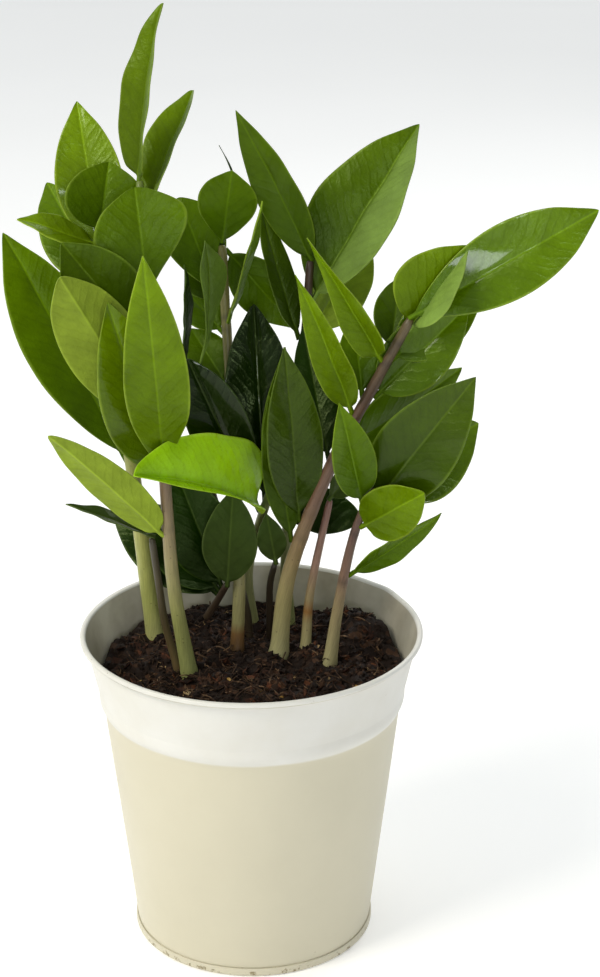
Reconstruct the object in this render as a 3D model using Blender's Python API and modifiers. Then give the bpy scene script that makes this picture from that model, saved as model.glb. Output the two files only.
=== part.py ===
"""Potted ZZ plant (Zamioculcas): a two-tone sheet-metal pot, its soil, and a clump of leafy stalks.

Metres, +Z up. The origin is on the pot's axis, at the level the pot stands on.
The sizes below are in millimetres and are turned into metres by MM.
"""

import math
from dataclasses import dataclass, field

import bmesh
import bpy
from mathutils import Matrix, Quaternion, Vector

MM = 0.001

# ---- pot ----
POT_HEIGHT = 122.0
RIM_RADIUS = 63.5  # outermost edge of the rolled lip
FOOT_RADIUS = 45.6  # outermost edge of the chime at the foot
SHEET = 0.5
LIP_TUBE_RADIUS = 1.1  # of the rolled lip's centre line
RIM_FLARE = 2.6  # how far the band turns outwards just under the lip
FLARE_HEIGHT = 9.0
BAND_HEIGHT = 28.5  # from the rim down to the bead's lower edge
BEAD_HEIGHT = 6.0
BEAD_DEPTH = 1.2
CHIME_HEIGHT = 3.2
BASE_THICKNESS = 0.8
POT_STEPS = 48
CLEARANCE = 0.3  # between pieces that touch
CHIME_CLEARANCE = 0.06  # between the wall and the chime's upper edge

# ---- soil ----
SOIL_BELOW_RIM = 16.0
SOIL_CROWN = 1.5  # how much higher the soil lies in the middle than at the wall
SOIL_STEPS = 40
PLANTED_DEPTH = 14.0
CLUMP_RADIUS = 56.1  # the circle that the stalks grow in

# ---- leaves and stalks ----
LEAF_THICKNESS = 0.9
LEAF_SIZE = 1.0  # scales every leaf
STALK_SIZE = 1.0  # scales every stalk's thickness
STATIONS = (0.0, 0.07, 0.2, 0.4, 0.64, 0.86, 1.0)  # along a leaf, base to tip
ACROSS = (-1.0, -0.5, 0.0, 0.5, 1.0)  # edge, half blade, midrib, half blade, edge
PETIOLE_HALF_WIDTH = 1.1
PETIOLE_SHARE = 0.06  # of the leaf's length, before the blade starts to widen
TIP_HALF_WIDTH = 0.45
POINT_SPACING = 15.0  # along a stalk


@dataclass
class Leaf:
    """A leaflet: where it leaves its stalk, where it points, and how its blade is bent.

    at is the share of the stalk's length above the soil. heading is counter-clockwise
    from +X seen from above, rise is above the horizontal. At roll 0 the upper face
    looks as far up as it can. arch bends the blade's tip downwards and fold raises its
    two halves from the midrib. All in degrees, length and width in millimetres.
    A lower fullness gives a blunter outline.
    """

    name: str
    at: float
    heading: float
    rise: float
    length: float
    width: float
    roll: float = 0.0
    arch: float = 20.0
    fold: float = 12.0
    widest: float = 0.42
    fullness: float = 0.8


@dataclass
class Stalk:
    """A stalk: foot on the soil (share of the clump's radius, bearing), then its route.

    The route's points are millimetres from the foot. thick is the diameter at the
    soil and at the top.
    """

    name: str
    foot: tuple
    route: list
    thick: tuple
    colour: tuple
    leaves: list = field(default_factory=list)


PALE = (0.42, 0.45, 0.17)
BROWN = (0.16, 0.11, 0.06)
GREEN = (0.25, 0.33, 0.07)

STALKS = [
    Stalk("stalk_left", (0.80, 146),
          [(-3, -4, 30), (-7, -10, 77), (-10, -14, 121), (-16, -10, 163)],
          (8.4, 3.6), PALE, [
              Leaf("leaf_left_1", 0.48, 158, 60, 92, 31, -42, arch=12, fold=10),
              Leaf("leaf_left_2", 0.88, 126, 38, 49, 26, -34),
              Leaf("leaf_left_3", 0.98, -175, 20, 28, 14, -25, arch=10),
              Leaf("leaf_left_4", 0.97, 118, 69, 52, 25, -32, arch=15, fold=10),
              Leaf("leaf_left_5", 1.00, 35, 73, 23, 30, 67, arch=15, fold=14),
          ]),
    Stalk("stalk_front_thin", (0.50, -178),
          [(-4, -2, 18), (-6, -3, 35), (-8, -4, 53)], (3.2, 2.6), BROWN, [
              Leaf("leaf_front_thin_1", 1.00, -169, 25, 34, 9, -12, arch=8, fold=20),
          ]),
    Stalk("stalk_front_left", (0.43, -166),
          [(-5, -4, 38), (-7, -5, 77), (-9, -2, 112), (-15, 17, 182)], (6.4, 3.0), PALE, [
              Leaf("leaf_front_left_1", 0.32, -153, 47, 60, 15, 60, arch=10, fold=14),
              Leaf("leaf_front_left_2", 0.45, -147, 75, 68, 24, -101, arch=14, fold=8),
              Leaf("leaf_front_left_3", 0.47, -95, 68, 93, 22, -164, arch=12, fold=8),
              Leaf("leaf_front_left_4", 0.55, -154, 61, 68, 28, 80, arch=12),
              Leaf("leaf_front_left_5", 0.71, -173, 53, 47, 28, -81, arch=12),
              Leaf("leaf_front_left_6", 0.79, 131, 81, 40, 33, -31, arch=15, fold=8, widest=0.55),
              Leaf("leaf_front_left_7", 0.95, 61, 48, 48, 21, -16, arch=12, fold=36),
              Leaf("leaf_front_left_8", 1.00, 41, 79, 61, 20, -3, arch=14, fold=34),
          ]),
    Stalk("stalk_leaning", (0.77, 117), [(5, -14, 14), (10, -27, 28)], (3.4, 2.6), BROWN, [
        Leaf("leaf_leaning_1", 0.78, 143, 41, 41, 22, -46, arch=12),
        Leaf("leaf_leaning_2", 0.90, 163, 68, 44, 20, -64, arch=12),
        Leaf("leaf_leaning_3", 1.00, 59, 82, 32, 19, 31, arch=12),
    ]),
    Stalk("stalk_centre_back", (0.24, 116),
          [(1, 3, 33), (-1, 16, 83), (-4, 30, 127), (-5, 36, 148)], (5.4, 3.4), PALE, [
              Leaf("leaf_centre_back_1", 0.67, 132, 39, 24, 17, -41, arch=12),
              Leaf("leaf_centre_back_2", 0.82, -47, 69, 51, 9, -153, arch=4, fold=15),
              Leaf("leaf_centre_back_3", 0.96, 16, -52, 38, 17, 101, arch=12),
              Leaf("leaf_centre_back_4", 0.88, 138, 49, 38, 20, -35, arch=12),
              Leaf("leaf_centre_back_5", 1.00, -68, 69, 32, 20, 156, arch=12, fold=6,
                   widest=0.5, fullness=0.7),
          ]),
    Stalk("stalk_back_dark", (0.43, 93),
          [(-2, -2, 17), (-12, 0, 54), (-21, 2, 88), (-23, 3, 110)], (3.0, 2.2), BROWN, [
              Leaf("leaf_back_dark_1", 1.00, -83, 84, 37, 9, -114, arch=6, fold=15),
          ]),
    Stalk("stalk_centre_pale", (0.60, 90), [(-2, -5, 24), (2, -10, 45), (7, -18, 64)],
          (4.8, 3.2), PALE, [
              Leaf("leaf_centre_pale_1", 0.88, -131, 26, 72, 42, -47, arch=24, fold=45,
                   widest=0.3, fullness=0.6),
              Leaf("leaf_centre_pale_2", 0.84, -173, 67, 64, 19, -87, arch=14),
              Leaf("leaf_centre_pale_3", 0.92, 102, 75, 71, 24, -10, arch=10),
              Leaf("leaf_centre_pale_4", 1.00, 59, 79, 53, 12, 50, arch=8, fold=15),
          ]),
    Stalk("stalk_centre_thin", (0.40, 73), [(0, -6, 24), (2, -10, 36)], (3.0, 2.4), BROWN, [
        Leaf("leaf_centre_thin_1", 1.00, 173, 80, 19, 11, -78, arch=10, fold=10),
    ]),
    Stalk("stalk_behind", (0.60, 66),
          [(-1, -2, 32), (2, 2, 72), (6, 6, 115), (8, 9, 145)], (5.4, 3.0), GREEN, [
              Leaf("leaf_behind_1", 0.81, 156, 73, 50, 12, -32, arch=-10, fold=14),
              Leaf("leaf_behind_2", 0.82, 38, 49, 41, 24, -160, arch=8),
              Leaf("leaf_behind_3", 0.91, 22, 56, 73, 38, 35, arch=8, fold=28),
              Leaf("leaf_behind_4", 1.00, -171, 64, 62, 18, -116, arch=-12, fold=15, widest=0.38),
          ]),
    Stalk("stalk_main", (0.25, 45),
          [(4, -1, 33), (18, -4, 74), (35, -7, 110), (47, -11, 135)], (7.6, 3.4), PALE, [
              Leaf("leaf_main_1", 0.34, -176, 82, 55, 14, -90, arch=6),
              Leaf("leaf_main_2", 0.42, -129, 82, 66, 18, -119, arch=8, fold=15),
              Leaf("leaf_main_3", 0.57, 110, 57, 49, 16, -19, arch=10, fold=10),
              Leaf("leaf_main_4", 0.72, -152, 66, 57, 14, -129, arch=-15, fold=25, widest=0.3),
              Leaf("leaf_main_5", 0.80, -10, 38, 42, 16, 80, arch=8),
              Leaf("leaf_main_6", 0.87, -159, 59, 54, 13, -125, arch=-10, fold=35, widest=0.22),
              Leaf("leaf_main_7", 0.92, 23, 31, 35, 20, 61, arch=12),
              Leaf("leaf_main_8", 0.94, -26, 58, 40, 26, 48, arch=10, fold=50),
              Leaf("leaf_main_9", 1.00, 4, 30, 74, 26, 72, arch=12, fold=10, widest=0.55),
          ]),
    Stalk("stalk_slim", (0.41, 30), [(2, 0, 25), (9, -2, 62)], (4.4, 2.6), BROWN),
    Stalk("stalk_right", (0.52, 3),
          [(3, -2, 24), (8, -5, 52), (15, -8, 74)], (5.6, 2.8), BROWN, [
              Leaf("leaf_right_1", 0.50, -10, 40, 42, 14, 117, arch=12, fold=20),
              Leaf("leaf_right_2", 0.76, -35, 36, 31, 21, 99, arch=10),
              Leaf("leaf_right_3", 0.93, -18, 55, 63, 30, 90, arch=10, fold=16),
              Leaf("leaf_right_4", 1.00, 17, 33, 45, 30, 64, arch=12),
          ]),
]


def material(name, colour, roughness, metallic=0.0):
    made = bpy.data.materials.new(name)
    made.use_nodes = True
    shader = made.node_tree.nodes["Principled BSDF"]
    shader.inputs["Base Color"].default_value = (*colour, 1.0)
    shader.inputs["Roughness"].default_value = roughness
    shader.inputs["Metallic"].default_value = metallic
    made.diffuse_color = (*colour, 1.0)
    return made


def collection(name):
    made = bpy.data.collections.new(name)
    bpy.context.scene.collection.children.link(made)
    return made


def add_object(name, data, group, paint=None):
    made = bpy.data.objects.new(name, data)
    group.objects.link(made)
    if paint:
        data.materials.append(paint)
    return made


def arc(centre, radius, start, end, steps):
    """Points on a circle in the profile plane, from one angle to another, in degrees."""
    points = []
    for index in range(steps + 1):
        angle = math.radians(start + (end - start) * index / steps)
        points.append((centre[0] + radius * math.cos(angle),
                       centre[1] + radius * math.sin(angle)))
    return points


# ---- pot ----

WALL_FOOT = BASE_THICKNESS + CLEARANCE  # height of the wall's lower edge
BAND_TOP_RADIUS = RIM_RADIUS - SHEET / 2 - 2 * LIP_TUBE_RADIUS  # of the wall's middle
WALL_TOP_RADIUS = BAND_TOP_RADIUS - RIM_FLARE  # where its straight taper would end
# The straight taper passes the chime's upper edge with its clearance, so the foot follows.
CHIME_SHARE = (CHIME_HEIGHT - WALL_FOOT) / (POT_HEIGHT - WALL_FOOT)
RADIUS_AT_CHIME = FOOT_RADIUS - SHEET - CHIME_CLEARANCE - SHEET / 2
WALL_FOOT_RADIUS = (RADIUS_AT_CHIME - WALL_TOP_RADIUS * CHIME_SHARE) / (1 - CHIME_SHARE)
BEAD_BOTTOM = POT_HEIGHT - BAND_HEIGHT
FLARE_BOTTOM = POT_HEIGHT - FLARE_HEIGHT


def wall_radius(height):
    """Radius of the middle of the sheet where the wall is straight."""
    slope = (WALL_TOP_RADIUS - WALL_FOOT_RADIUS) / (POT_HEIGHT - WALL_FOOT)
    return WALL_FOOT_RADIUS + slope * (height - WALL_FOOT)


def wall_profile():
    """The sheet's middle line, from the rolled lip down to the foot."""
    lip_height = POT_HEIGHT - SHEET / 2 - LIP_TUBE_RADIUS
    lip = arc((BAND_TOP_RADIUS + LIP_TUBE_RADIUS, lip_height), LIP_TUBE_RADIUS, -90, 180, 6)
    flare = []
    for share in (0.35, 0.7, 1.0):
        height = lip_height - share * (lip_height - FLARE_BOTTOM)
        spread = RIM_FLARE * (1 - share) ** 2
        flare.append((wall_radius(height) + spread, height))
    bead_top = BEAD_BOTTOM + BEAD_HEIGHT
    bead = []
    for share in (0.0, 0.25, 0.5, 0.75, 1.0):
        height = bead_top - share * BEAD_HEIGHT
        bead.append((wall_radius(height) + BEAD_DEPTH * math.sin(math.pi * share), height))
    return lip + flare + bead + [(WALL_FOOT_RADIUS, WALL_FOOT)]


def turned(name, profile, steps, group, paint):
    """An outline in millimetres, turned about +Z by a Screw modifier."""
    mesh = bpy.data.meshes.new(name)
    points = [(radius * MM, 0, height * MM) for radius, height in profile]
    edges = [(index, index + 1) for index in range(len(points) - 1)]
    mesh.from_pydata(points, edges, [])
    made = add_object(name, mesh, group, paint)
    screw = made.modifiers.new("turn", "SCREW")
    screw.steps = steps
    screw.render_steps = steps
    screw.use_merge_vertices = True
    screw.merge_threshold = 0.00001
    return made


def add_pot(group):
    """The wall is one pressed and rolled sheet; the base is a plate seamed round its foot."""
    paint = material("painted_sheet_metal", (0.72, 0.69, 0.55), 0.35)
    wall = turned("pot_wall", wall_profile(), POT_STEPS, group, paint)
    sheet = wall.modifiers.new("sheet", "SOLIDIFY")
    sheet.thickness = SHEET * MM
    sheet.offset = 0.0
    sheet.use_even_offset = True
    inner = FOOT_RADIUS - SHEET
    plate = [(0, BASE_THICKNESS), (inner, BASE_THICKNESS), (inner, CHIME_HEIGHT),
             (FOOT_RADIUS, CHIME_HEIGHT), (FOOT_RADIUS, 0), (0, 0)]
    paint = material("painted_base", (0.70, 0.67, 0.54), 0.4)
    turned("pot_base", plate, POT_STEPS, group, paint)


# ---- soil ----

SOIL_TOP = POT_HEIGHT - SOIL_BELOW_RIM
SOIL_GAP = SHEET / 2 + CLEARANCE


def soil_radius(height):
    return wall_radius(height) - SOIL_GAP


def soil_profile():
    """A plug that follows the wall's taper, a little higher in the middle."""
    bottom = BASE_THICKNESS + CLEARANCE + SHEET
    top_radius = soil_radius(SOIL_TOP)
    crown = []
    for share in (0.0, 0.35, 0.65, 0.85):
        crown.append((top_radius * share, SOIL_TOP + SOIL_CROWN * math.cos(share * math.pi / 2)))
    return crown + [(top_radius, SOIL_TOP), (soil_radius(bottom), bottom), (0, bottom)]


def add_soil(group, cutters):
    paint = material("potting_soil", (0.03, 0.02, 0.014), 0.95)
    soil = turned("soil", soil_profile(), SOIL_STEPS, group, paint)
    for stalk in STALKS:
        hole = soil.modifiers.new("hole", "BOOLEAN")
        hole.operation = "DIFFERENCE"
        hole.solver = "EXACT"
        hole.object = add_cutter(stalk, cutters)
    return soil


def add_cutter(stalk, cutters):
    """A rod along the planted end of a stalk, wider by the clearance."""
    points = smooth_route(stalk)
    foot, above = points[0], points[1]
    rod = (above - foot).normalized()
    radius = stalk.thick[0] / 2 * STALK_SIZE * MM + CLEARANCE * MM
    low = foot - rod * CLEARANCE * MM
    high = foot + rod * (PLANTED_DEPTH + 8.0) * MM
    mesh = bpy.data.meshes.new("hole_" + stalk.name)
    shape = bmesh.new()
    bmesh.ops.create_cone(shape, cap_ends=True, segments=10, radius1=radius, radius2=radius,
                          depth=(high - low).length)
    shape.to_mesh(mesh)
    shape.free()
    cutter = add_object("hole_" + stalk.name, mesh, cutters)
    cutter.matrix_world = (Matrix.Translation((low + high) / 2)
                           @ rod.to_track_quat("Z", "Y").to_matrix().to_4x4())
    cutter.hide_render = True
    cutter.display_type = "WIRE"
    return cutter


# ---- stalks ----

def foot_point(stalk):
    share, bearing = stalk.foot
    radius = share * CLUMP_RADIUS
    height = SOIL_TOP + SOIL_CROWN * math.cos(share * math.pi / 2)
    angle = math.radians(bearing)
    return Vector((radius * math.cos(angle), radius * math.sin(angle), height)) * MM


def above_soil(stalk, share):
    """Point and direction at a share of the stalk's route above the soil."""
    foot = foot_point(stalk)
    knots = [foot] + [foot + Vector(step) * MM for step in stalk.route]
    knots = [2 * knots[0] - knots[1]] + knots + [2 * knots[-1] - knots[-2]]
    spans = len(knots) - 3
    lengths = [(knots[i + 2] - knots[i + 1]).length for i in range(spans)]
    reach = share * sum(lengths)
    span = 0
    while span < spans - 1 and reach > lengths[span]:
        reach -= lengths[span]
        span += 1
    t = reach / lengths[span]
    before, start, end, after = knots[span:span + 4]
    into = (end - before) / 2
    out = (after - start) / 2
    point = ((2 * t ** 3 - 3 * t ** 2 + 1) * start + (t ** 3 - 2 * t ** 2 + t) * into
             + (3 * t ** 2 - 2 * t ** 3) * end + (t ** 3 - t ** 2) * out)
    tangent = ((6 * t ** 2 - 6 * t) * start + (3 * t ** 2 - 4 * t + 1) * into
               + (6 * t - 6 * t ** 2) * end + (3 * t ** 2 - 2 * t) * out)
    return point, tangent.normalized()


def route_length(stalk):
    foot = Vector((0, 0, 0))
    total = 0.0
    for step in stalk.route:
        total += (Vector(step) - foot).length
        foot = Vector(step)
    return total


def smooth_route(stalk):
    """Evenly spread points along the stalk, the first of them under the soil."""
    count = max(3, round(route_length(stalk) / POINT_SPACING))
    points = [above_soil(stalk, index / count)[0] for index in range(count + 1)]
    rod = above_soil(stalk, 0)[1]
    return [points[0] - rod * PLANTED_DEPTH * MM] + points


def stalk_radius(stalk, share):
    foot, top = stalk.thick
    return (foot + (top - foot) * share ** 0.7) / 2 * STALK_SIZE * MM


def add_stalk(stalk, group, paint):
    points = smooth_route(stalk)
    curve = bpy.data.curves.new(stalk.name, "CURVE")
    curve.dimensions = "3D"
    curve.bevel_depth = stalk_radius(stalk, 0)
    curve.bevel_resolution = 2
    curve.use_fill_caps = True
    curve.resolution_u = 1
    curve.render_resolution_u = 0
    spline = curve.splines.new("POLY")
    spline.points.add(len(points) - 1)
    for index, point in enumerate(points):
        share = max(0, index - 1) / (len(points) - 2)
        spline.points[index].co = (*point, 1)
        spline.points[index].radius = stalk_radius(stalk, share) / stalk_radius(stalk, 0)
    return add_object(stalk.name, curve, group, paint)


# ---- leaves ----

def leaf_axes(leaf):
    """Along the blade, across it, and out of its upper face."""
    heading, rise = math.radians(leaf.heading), math.radians(leaf.rise)
    along = Vector((math.cos(rise) * math.cos(heading), math.cos(rise) * math.sin(heading),
                    math.sin(rise)))
    upward = Vector((-math.sin(rise) * math.cos(heading), -math.sin(rise) * math.sin(heading),
                     math.cos(rise)))
    upward.rotate(Quaternion(along, math.radians(leaf.roll)))
    return along, upward.cross(along), upward


def leaf_base(stalk, leaf):
    """A petiole's end, clear of the stalk's side or of its tip."""
    point, tangent = above_soil(stalk, leaf.at)
    along = leaf_axes(leaf)[0]
    gap = (PETIOLE_HALF_WIDTH + CLEARANCE) * MM
    if leaf.at >= 1:
        return point + tangent * gap
    side = (along - tangent * along.dot(tangent)).normalized()
    return point + side * (stalk_radius(stalk, leaf.at) + gap)


def half_width(leaf, share):
    """Half the blade's width: narrow at the petiole, full in the middle, pointed at the tip."""
    power = math.log(0.5) / math.log(leaf.widest)
    blade = max(0.0, (share - PETIOLE_SHARE) / (1 - PETIOLE_SHARE))
    swell = max(0.0, math.sin(math.pi * blade ** power)) ** leaf.fullness
    least = PETIOLE_HALF_WIDTH + (TIP_HALF_WIDTH - PETIOLE_HALF_WIDTH) * share
    return max(least, swell * leaf.width / 2) * LEAF_SIZE


def add_leaf(stalk, leaf, group, paint):
    """A curved grid of quads, thickened both ways from its middle surface."""
    along, across, out = leaf_axes(leaf)
    base = leaf_base(stalk, leaf)
    length = leaf.length * LEAF_SIZE
    bend = math.radians(leaf.arch) or 1e-6
    fold = math.radians(leaf.fold)
    scale = length / (2 * math.sin(bend / 2))
    rows = []
    for share in STATIONS:
        turn = bend * (share - 0.5)
        forward = scale * math.sin(turn) + length / 2
        lift = scale * (math.cos(turn) - math.cos(bend / 2))
        normal = (math.cos(turn) * out + math.sin(turn) * along).normalized()
        half = half_width(leaf, share)
        row = []
        for step in ACROSS:
            reach = half * abs(step)
            sideways = math.copysign(reach * math.cos(fold), step)
            row.append(base + (along * forward + out * lift + across * sideways
                               + normal * reach * math.sin(fold)) * MM)
        rows.append(row)
    mesh = bpy.data.meshes.new(leaf.name)
    shape = bmesh.new()
    grid = [[shape.verts.new(point) for point in row] for row in rows]
    for lower, upper in zip(grid, grid[1:]):
        for index in range(len(ACROSS) - 1):
            shape.faces.new((lower[index], lower[index + 1], upper[index + 1], upper[index]))
    shape.to_mesh(mesh)
    shape.free()
    made = add_object(leaf.name, mesh, group, paint)
    blade = made.modifiers.new("blade", "SOLIDIFY")
    blade.thickness = LEAF_THICKNESS * MM
    blade.offset = 0.0
    return made


def main():
    for old in list(bpy.data.objects):
        bpy.data.objects.remove(old)
    group = collection("potted_zz_plant")
    cutters = collection("cutters")
    add_pot(group)
    add_soil(group, cutters)
    leaf_paint = material("leaf", (0.09, 0.2, 0.01), 0.3)
    for stalk in STALKS:
        add_stalk(stalk, group, material(stalk.name, stalk.colour, 0.5))
        for leaf in stalk.leaves:
            add_leaf(stalk, leaf, group, leaf_paint)


main()
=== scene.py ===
import math
from functools import partial

import bmesh
import bpy
import numpy as np
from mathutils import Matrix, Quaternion, Vector, noise


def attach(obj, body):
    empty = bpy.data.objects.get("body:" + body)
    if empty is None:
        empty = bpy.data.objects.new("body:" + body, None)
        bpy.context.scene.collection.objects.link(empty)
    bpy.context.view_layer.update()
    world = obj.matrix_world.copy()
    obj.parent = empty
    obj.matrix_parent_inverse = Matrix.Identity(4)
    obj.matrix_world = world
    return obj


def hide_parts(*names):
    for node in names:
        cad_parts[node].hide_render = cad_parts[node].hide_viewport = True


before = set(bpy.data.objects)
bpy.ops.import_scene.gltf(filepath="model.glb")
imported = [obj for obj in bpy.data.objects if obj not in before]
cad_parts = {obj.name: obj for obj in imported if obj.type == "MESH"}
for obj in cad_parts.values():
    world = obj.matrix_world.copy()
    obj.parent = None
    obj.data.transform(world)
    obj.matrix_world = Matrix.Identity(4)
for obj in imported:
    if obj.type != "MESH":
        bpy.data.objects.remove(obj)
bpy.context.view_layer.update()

MM = 0.001  # sizes are in millimetres unless a comment says otherwise
ROOT = "root"

# ---- pot wall ----
# One sheet of half-millimetre steel, rolled over a thin lip at the top, flared under it,
# pressed out into a bead below the band and seamed to the base. It was hand spun and has
# been knocked about, so its rim is a little out of round. Sprayed enamel in two creams. The
# inside is coloured darker and blotched dark brown, for stains and painted shade in the pot's hollow.

POT_HEIGHT = 122.0
WALL_FOOT_HEIGHT = 1.1
WALL_FOOT_RADIUS = 44.55
WALL_TOP_RADIUS = 58.45
BAND_TOP_RADIUS = 61.55
LIP_TUBE_RADIUS = 0.85
BEAD_BOTTOM = 93.5
BEAD_HEIGHT = 6.5
BEAD_DEPTH = 0.65
FLARE_HEIGHT = 30.0
SHEET = 0.5
LIP_HEIGHT = POT_HEIGHT - SHEET / 2 - LIP_TUBE_RADIUS
BAND_EDGE = (93.4, 94.6)  # the heights between which cream turns to off-white
LIP_SCUFFS = (118.6, 121.2)  # the heights between which scuffs set in
CHIME_SCUFFS = (4.2, 1.6)
OVAL, KINK, DENT, RIPPLE = 0.35, 0.9, 0.35, 0.06  # how far the sheet strays from round
DENT_HEIGHT = 19
POT_SECTORS = 192
LIP_STEPS, TAPER_STEPS, BEAD_STEPS = 14, 40, 12
LIP_START, LIP_SWEEP = -140, 320  # degrees


def linear(colour):
    """A '#RRGGBB' sRGB colour as linear red, green, blue and alpha."""
    parts = [int(colour[index:index + 2], 16) / 255 for index in (1, 3, 5)]
    return tuple(part / 12.92 if part <= 0.04045 else ((part + 0.055) / 1.055) ** 2.4
                 for part in parts) + (1.0,)


def fill(made, sockets):
    """Sets a node's inputs; a value may be another node's output, which is then linked."""
    for name, value in sockets.items():
        if isinstance(value, bpy.types.NodeSocket):
            made.id_data.links.new(value, made.inputs[name])
        else:
            made.inputs[name].default_value = value


def add_node(tree, kind, sockets=None, **settings):
    """Adds a node with its settings and inputs, and gives back its outputs."""
    made = tree.nodes.new(kind)
    for name, value in settings.items():
        setattr(made, name, value)
    fill(made, sockets or {})
    return made.outputs


def new_material(name):
    """A node material, add_node for its tree, its surface shader and its Object coordinates."""
    made = bpy.data.materials.new(name)
    made.use_nodes = True
    node = partial(add_node, made.node_tree)
    return made, node, made.node_tree.nodes["Principled BSDF"], node("ShaderNodeTexCoord")["Object"]


def enamel(name, body, band, stain_and_shade_colour, stain_and_shade_amount):
    """Sprayed enamel on sheet steel: soft satin gloss, faint orange peel about 1 mm across,
    uneven ageing in patches of 20 to 40 mm, which inside the pot are heavy and dark and also
    stand for painted shade, and grey-brown scuffs along the rolled edges."""
    made, node, shader, place = new_material(name)
    height = node("ShaderNodeSeparateXYZ", {0: place})["Z"]
    patches = node("ShaderNodeTexNoise", {"Vector": place, "Scale": 32.0, "Detail": 4.0,
                                          "Roughness": 0.6})["Fac"]
    waver = node("ShaderNodeMath", {0: patches, 1: 0.0012}, operation="MULTIPLY")[0]
    line = node("ShaderNodeMath", {0: height, 1: waver}, operation="ADD")[0]
    split = node("ShaderNodeMapRange", {"Value": line, "From Min": BAND_EDGE[0] * MM,
                                        "From Max": BAND_EDGE[1] * MM})[0]
    two_tone = node("ShaderNodeMix", {"Factor": split, 6: linear(body), 7: linear(band)},
                    data_type="RGBA")[2]
    ageing_and_shade = node("ShaderNodeMapRange", {"Value": patches, "From Min": 0.35, "From Max": 0.75,
                                       "To Max": stain_and_shade_amount})[0]
    coat = node("ShaderNodeMix", {"Factor": ageing_and_shade, 6: two_tone, 7: linear(stain_and_shade_colour)}, data_type="RGBA")[2]
    fleck = node("ShaderNodeTexNoise", {"Vector": place, "Scale": 420.0, "Detail": 5.0,
                                        "Roughness": 0.7})["Fac"]
    lip = node("ShaderNodeMapRange", {"Value": height, "From Min": LIP_SCUFFS[0] * MM,
                                      "From Max": LIP_SCUFFS[1] * MM})[0]
    chime = node("ShaderNodeMapRange", {"Value": height, "From Min": CHIME_SCUFFS[0] * MM,
                                        "From Max": CHIME_SCUFFS[1] * MM})[0]
    edges = node("ShaderNodeMath", {0: lip, 1: 0.5, 2: chime}, operation="MULTIPLY_ADD")[0]
    reach = node("ShaderNodeMath", {0: edges, 1: 0.16}, operation="MULTIPLY")[0]
    level = node("ShaderNodeMath", {0: fleck, 1: reach}, operation="ADD")[0]
    scuff = node("ShaderNodeMapRange", {"Value": level, "From Min": 0.72, "From Max": 0.78})[0]
    worn = node("ShaderNodeMix", {"Factor": scuff, 6: coat, 7: linear("#8A7E5E")}, data_type="RGBA")[2]
    gloss = node("ShaderNodeMapRange", {"Value": patches, "To Min": 0.3, "To Max": 0.5})[0]
    peel = node("ShaderNodeTexNoise", {"Vector": place, "Scale": 900.0, "Detail": 1.0})["Fac"]
    bump = node("ShaderNodeBump", {"Height": peel, "Strength": 0.12, "Distance": 0.00015})["Normal"]
    fill(shader, {"Base Color": worn, "Roughness": gloss, "Normal": bump, "Specular IOR Level": 0.45})
    return made


def wall_radius(height):
    """Radius of the sheet's middle: the taper, the flare under the lip, and the bead."""
    share = (height - WALL_FOOT_HEIGHT) / (POT_HEIGHT - WALL_FOOT_HEIGHT)
    radius = WALL_FOOT_RADIUS + (WALL_TOP_RADIUS - WALL_FOOT_RADIUS) * share
    flare = max(0.0, 1 - (LIP_HEIGHT - height) / FLARE_HEIGHT)
    radius += (BAND_TOP_RADIUS - WALL_TOP_RADIUS) * flare
    across = (height - BEAD_BOTTOM) / BEAD_HEIGHT
    if 0 < across < 1:
        radius += BEAD_DEPTH * math.sin(math.pi * across ** 0.8) ** 1.3
    return radius


def wall_middle():
    """The sheet's middle line, (radius, height), from the rolled lip's free edge to the foot."""
    lip = []
    for step in range(LIP_STEPS + 1):
        angle = math.radians(LIP_START + LIP_SWEEP * step / LIP_STEPS)
        lip.append((BAND_TOP_RADIUS + LIP_TUBE_RADIUS * (1 + math.cos(angle)),
                    LIP_HEIGHT + LIP_TUBE_RADIUS * math.sin(angle)))
    heights = {LIP_HEIGHT - (LIP_HEIGHT - WALL_FOOT_HEIGHT) * step / TAPER_STEPS
               for step in range(1, TAPER_STEPS + 1)}
    heights |= {BEAD_BOTTOM + BEAD_HEIGHT * (1 - step / BEAD_STEPS) for step in range(BEAD_STEPS + 1)}
    return lip + [(wall_radius(height), height) for height in sorted(heights, reverse=True)]


def out_of_round(angle, height):
    """How far the worn pot stands out from true, in millimetres."""
    share = height / POT_HEIGHT
    swing = OVAL * math.cos(2 * angle - 0.7) * share ** 2
    kink = KINK * math.exp(-((angle - 0.62) / 0.09) ** 2) * share ** 10
    dent = DENT * math.exp(-((angle + 1.9) * 47 / 2.6) ** 2 - ((height - DENT_HEIGHT) / 2.2) ** 2)
    ripple = RIPPLE * math.sin(5 * angle + height / 30)
    return swing + kink - dent + ripple


def add_piece(name, vertices, faces, finishes):
    """A mesh object made of millimetre points, in place, with its finishes."""
    mesh = bpy.data.meshes.new(name)
    mesh.from_pydata([tuple(value * MM for value in point) for point in vertices], [], faces)
    mesh.update()
    for finish in finishes:
        mesh.materials.append(finish)
    mesh.polygons.foreach_set("use_smooth", [True] * len(mesh.polygons))
    made = bpy.data.objects.new(name, mesh)
    bpy.context.scene.collection.objects.link(made)
    return made


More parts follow.
